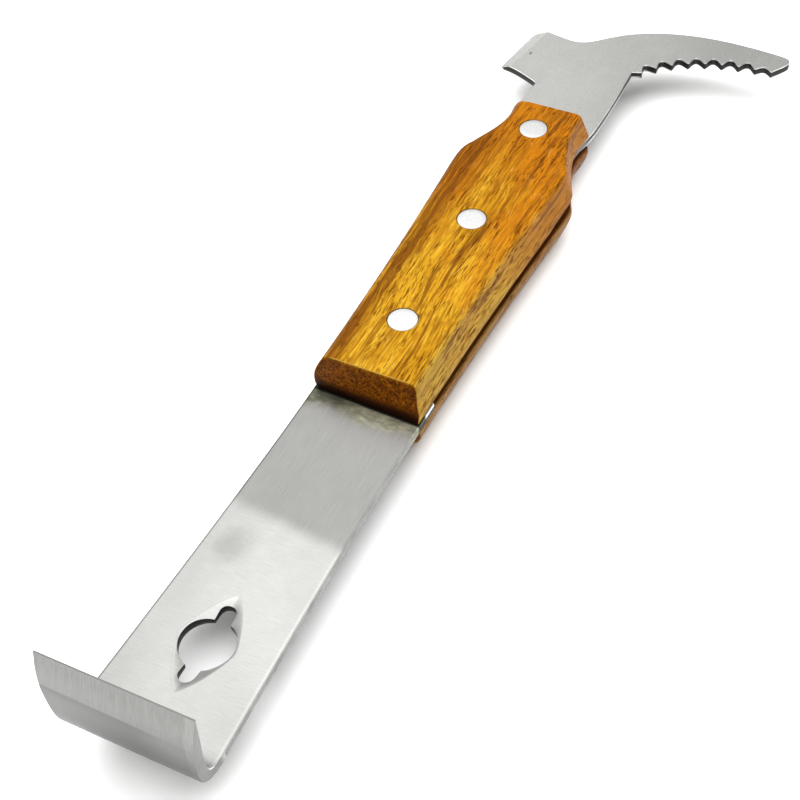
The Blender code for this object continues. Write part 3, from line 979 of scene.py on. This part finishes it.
def wood_noises(n, offset):
    """The wood's grain at every size, from zones to pores. The offset sets the scales apart."""
    vector, (x, y, z) = n.position()

    def noise(at, size, detail, roughness=0.5, distortion=0.0):
        return n.noise(at, size, detail, roughness, distortion, offset)

    # The grain wanders a little as it runs along the tool
    sway = noise(vector, (30, 60, 30), 1)
    sway_small = noise(vector, (9, 26, 9), 1)
    drift = n.maths("ADD", n.linear(sway, 6.0, -3.0), n.linear(sway_small, 1.2, -0.6))
    grain = n.vectors("ADD", vector, n.join(drift, 0.0, n.times(drift, 0.6)))
    return SimpleNamespace(
        vector=vector,
        x=x,
        y=y,
        z=z,
        normal=n.normal("Normal"),
        noise=noise,
        sway=sway_small,
        broad=noise(grain, (5.0, 70, 5.0), 3),
        bands=noise(grain, (1.2, 26, 1.5), 3, 0.55),
        lines=noise(grain, (0.52, 12, 0.65), 3, 0.6),
        fibres=noise(grain, (0.34, 5.5, 0.4), 3, 0.55),
        pores=noise(grain, (0.30, 3.4, 0.36), 2),
        mottle=noise(grain, (1.9, 5.5, 2.2), 4, 0.7, 0.4),
        specks=noise(vector, (4.5, 13, 4.5), 2, 0.6),
        cloud=noise(vector, (14, 30, 14), 2),
    )


def wood_zones(n, w):
    """Redder and more golden zones along the handle, with a mottle over them."""
    base = n.ramp(w.broad, WOOD_BASE)
    base = n.mix(n.step(w.lines, 0.47, 0.30, 0.0, 0.55), base, PALE_LINES)
    redder = n.linear(w.cloud, 70.0, w.y)
    base = n.mix(n.step(redder, 85.0, 135.0, 0.0, 0.85), base, RED_ZONE)
    patch = n.maths("ADD", n.linear(w.x, 0.015, w.cloud), n.step(w.y, 42.0, 68.0, -0.16, 0.04))
    base = n.mix(n.step(patch, 0.52, 0.66, 0.0, 0.80), base, RED_PATCHES)
    near = n.times(n.step(w.y, 68.0, 40.0, 0.0, 0.27), n.step(w.y, 2.0, 24.0, 0.45, 1.0))
    base = n.mix(near, base, GOLDEN_ZONE)
    base = n.mix(n.step(w.mottle, 0.50, 0.66, 0.0, 0.55), base, DARK_MOTTLE)
    return n.mix(n.step(w.mottle, 0.42, 0.28, 0.0, 0.35), base, PALE_MOTTLE)


def wood_sides(n, w, base, left_edge):
    """The right sides get a paler painted sheen, and a dark band runs inside the upper face's left
    bevel.
    """
    lower = n.step(w.z, -1.0, -4.0)
    side_sheen = n.blend(lower, n.step(w.y, 88.0, 5.0, 0.10, 0.58), 0.85)
    # Painted sheen on the faces turned to the right
    share = n.times(n.step(w.normal[0], 0.10, 0.95), side_sheen)
    base = n.mix(share, base, n.mix(lower, UPPER_SIDE_SHEEN, LOWER_SIDE_SHEEN))
    bevel = n.step(n.linear(w.sway, 1.0, w.x), -10.9, -12.0)
    band = n.times(n.maths("SUBTRACT", left_edge, bevel, clamp=True), 0.80)
    return n.mix(band, base, LEFT_BAND)


def wood_streaks(n, w, base, left_edge, pore):
    """Dark bands, lines, fibres and pores."""
    streaky = n.maths("MAXIMUM", n.step(w.broad, 0.62, 0.40, 0.30, 1.0), left_edge)
    band = n.times(n.step(n.linear(left_edge, 0.09, w.bands), 0.50, 0.62), streaky)
    base = n.mix(n.times(band, 0.80), base, DARK_BANDS)
    base = n.mix(n.step(w.lines, 0.52, 0.64, 0.0, 0.65), base, DARK_LINES)
    base = n.mix(n.step(w.fibres, 0.54, 0.66, 0.0, 0.55), base, DARK_FIBRES)
    return n.mix(n.times(pore, 0.78), base, PORES)


def wood_end_grain(n, w):
    """End grain is dark with oil; painted shade darkens it more down by the steel, and its outer edge is
    paler.
    """
    across_rings = n.join(n.linear(w.z, 1.3, w.x), n.linear(w.x, -0.9, w.z))
    rings = w.noise(across_rings, (0.9, 7, 1), 3, 0.6)
    dots = w.noise(w.vector, (0.65, 0.65, 0.65), 4, 0.7)
    stained = w.noise(w.vector, (3.5, 3.5, 2.5), 3, 0.6)
    colour = n.mix(n.step(rings, 0.38, 0.68), *END_RINGS)
    colour = n.mix(n.step(stained, 0.42, 0.66, 0.0, 0.6), colour, END_STAIN)
    colour = n.mix(n.step(dots, 0.49, 0.60, 0.0, 0.85), colour, END_DARK_DOTS)
    colour = n.mix(n.step(dots, 0.46, 0.34, 0.0, 0.7), colour, END_PALE_DOTS)
    height = n.maths("ABSOLUTE", w.z)
    # Painted shade, darkest down by the steel
    colour = n.mix(n.step(n.linear(dots, 3.0, height), 2.5, 5.7), END_PAINTED_SHADE, colour)
    # A paler line along the outer edge
    return n.mix(n.step(height, SCALE_H - 0.4, SCALE_H - 0.15), colour, END_PALE_EDGE)


def make_wood(name, offset):
    n = Nodes(name)
    w = wood_noises(n, offset)
    left_edge = n.step(n.linear(w.sway, 4.0, w.x), -4.5, -9.5)
    pore = n.times(n.step(w.pores, 0.535, 0.61), n.step(w.specks, 0.42, 0.55, 0.15, 1.0))
    base = wood_sides(n, w, wood_zones(n, w), left_edge)
    base = wood_streaks(n, w, base, left_edge, pore)
    end_grain = n.step(n.maths("ABSOLUTE", w.normal[1]), 0.72, 0.92)
    base = n.mix(end_grain, base, wood_end_grain(n, w))

    # Painted shade darkens the lower scale's far tip and the crevices along the plate
    tip = n.times(n.step(w.y, 98.0, 106.0), n.step(w.z, -2.0, -3.0))
    base = n.mix(n.times(tip, 0.55), base, FAR_TIP_SHADE)
    from_plate = n.maths("ADD", w.z, PLATE_T / 2)
    inward = n.times(n.maths("SIGN", from_plate), w.normal[2])
    by_plate = n.step(n.maths("ABSOLUTE", from_plate), 3.4, 2.2)
    crevice_shade = n.times(n.step(inward, -0.25, -0.75), by_plate)
    base = n.mix(n.times(crevice_shade, 0.9), base, CREVICE_SHADE)

    rough = n.maths("ADD", n.step(w.fibres, 0.3, 0.7, 0.38, 0.52), n.times(pore, 0.25))
    height = n.maths("SUBTRACT", n.times(w.fibres, 0.35), n.times(pore, 0.7))
    return n.finish(base, rough, 0.0, n.bump(height, 0.10, 0.5), specular=0.05)


def make_rivet_metal():
    n = Nodes("rivet_metal_ground")
    vector, _ = n.position()
    lines = n.noise(vector, (0.2, 6, 0.5), 3, 0.6)
    marks = n.noise(vector, (1.4, 1.4, 1.4), 3, 0.55)
    tone = n.linear(marks, 0.08, 0.765)
    colour = n.join(tone, tone, tone, kind="ShaderNodeCombineColor")
    return n.finish(colour, n.linear(lines, 0.14, 0.20), 0.85, n.bump(lines, 0.008, 0.2))


def make_floor_material():
    n = Nodes("pale_floor")
    vector, _ = n.position()
    cloud = n.noise(vector, (60, 60, 60))
    colour = n.ramp(cloud, ((0.3, (0.92, 0.92, 0.92)), (0.7, (0.94, 0.94, 0.94))))
    return n.finish(colour, 0.75, 0.0, specular=0.2)


# Stage, in metres

FLOOR_HALF = 8.0
FLOOR_DROP = 0.0001
WORLD_COLOUR = (1.0, 1.0, 0.995, 1.0)
# The world is dimmer at the horizon than overhead
SKY_STEP = {"From Min": 0.30, "From Max": 1.0, "To Min": 0.32, "To Max": 0.95}
SENSOR_MM = 36.0
LENS_MM = 72.0
CAMERA_AT = (0.13177, -0.26107, 0.31160)
CAMERA_RIGHT = (0.89126, 0.44909, -0.06306)
CAMERA_UP = (-0.29696, 0.68305, 0.66728)


def make_floor():
    mesh = bpy.data.meshes.new("floor")
    shape = bmesh.new()
    bmesh.ops.create_grid(shape, x_segments=1, y_segments=1, size=FLOOR_HALF)
    shape.to_mesh(mesh)
    shape.free()
    floor = bpy.data.objects.new("floor", mesh)
    bpy.context.scene.collection.objects.link(floor)
    floor.location.z = -FLOOR_DROP
    mesh.materials.append(make_floor_material())


def area_light(name, at, target, size, power):
    light = bpy.data.lights.new(name, "AREA")
    light.shape = "RECTANGLE"
    light.size, light.size_y = size
    light.energy = power
    obj = bpy.data.objects.new(name, light)
    obj.location = at
    obj.rotation_euler = (Vector(target) - Vector(at)).to_track_quat("-Z", "Y").to_euler()
    bpy.context.scene.collection.objects.link(obj)
    return obj


def make_world():
    world = bpy.data.worlds.new("studio")
    world.use_nodes = True
    tree = world.node_tree
    background = tree.nodes["Background"]
    background.inputs["Color"].default_value = WORLD_COLOUR
    split = tree.nodes.new("ShaderNodeSeparateXYZ")
    tree.links.new(tree.nodes.new("ShaderNodeTexCoord").outputs["Generated"], split.inputs[0])
    sky = tree.nodes.new("ShaderNodeMapRange")
    sky.interpolation_type = "SMOOTHSTEP"
    for key, value in SKY_STEP.items():
        sky.inputs[key].default_value = value
    tree.links.new(split.outputs["Z"], sky.inputs["Value"])
    tree.links.new(sky.outputs[0], background.inputs["Strength"])
    bpy.context.scene.world = world


def make_lights():
    ceiling = area_light("ceiling_softbox", (-0.10, 0.30, 1.3), (0.0, 0.15, 0.0), (2.2, 2.2), 48.0)
    ceiling.visible_glossy = False
    area_light("reflector_panel", (-0.48, 0.44, 0.97), (0.0, -0.05, 0.0), (0.9, 0.9), 1.1)


def make_camera():
    camera = bpy.data.cameras.new("camera")
    camera.sensor_width = SENSOR_MM
    camera.lens = LENS_MM
    obj = bpy.data.objects.new("camera", camera)
    right = Vector(CAMERA_RIGHT)
    up = Vector(CAMERA_UP)
    turn = Matrix((right, up, right.cross(up))).transposed().to_4x4()
    obj.matrix_world = Matrix.Translation(CAMERA_AT) @ turn
    bpy.context.scene.collection.objects.link(obj)
    bpy.context.scene.camera = obj


def dress(piece, material, nodes):
    """Gives a piece its material and says what it rides, replaces and is made of."""
    piece.data.materials.clear()
    piece.data.materials.append(material)
    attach(piece, "root")
    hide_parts(*nodes)


def main():
    make_camera()
    make_world()
    make_lights()
    make_floor()
    dress(make_plate(), make_steel(), ["blade"])
    upper = make_scale("upper_wood", (UPPER_LEFT, UPPER_RIGHT), 0.0, 1)
    lower = make_scale("lower_wood", (LOWER_SIDE, LOWER_SIDE), -PLATE_T, -1)
    dress(upper, make_wood("oiled_wood_upper", (0.0, 0.0, 0.0)), ["upper_scale"])
    dress(lower, make_wood("oiled_wood_lower", (3.7, 1.9, 5.3)), ["lower_scale"])
    metal = make_rivet_metal()
    for number, y in enumerate(RIVET_Y, 1):
        pin, tube = make_rivet(number, y)
        dress(pin, metal, [f"rivet_{number}_pin"])
        dress(tube, metal, [f"rivet_{number}_tube"])
    bpy.context.scene.view_settings.view_transform = "Standard"


main()
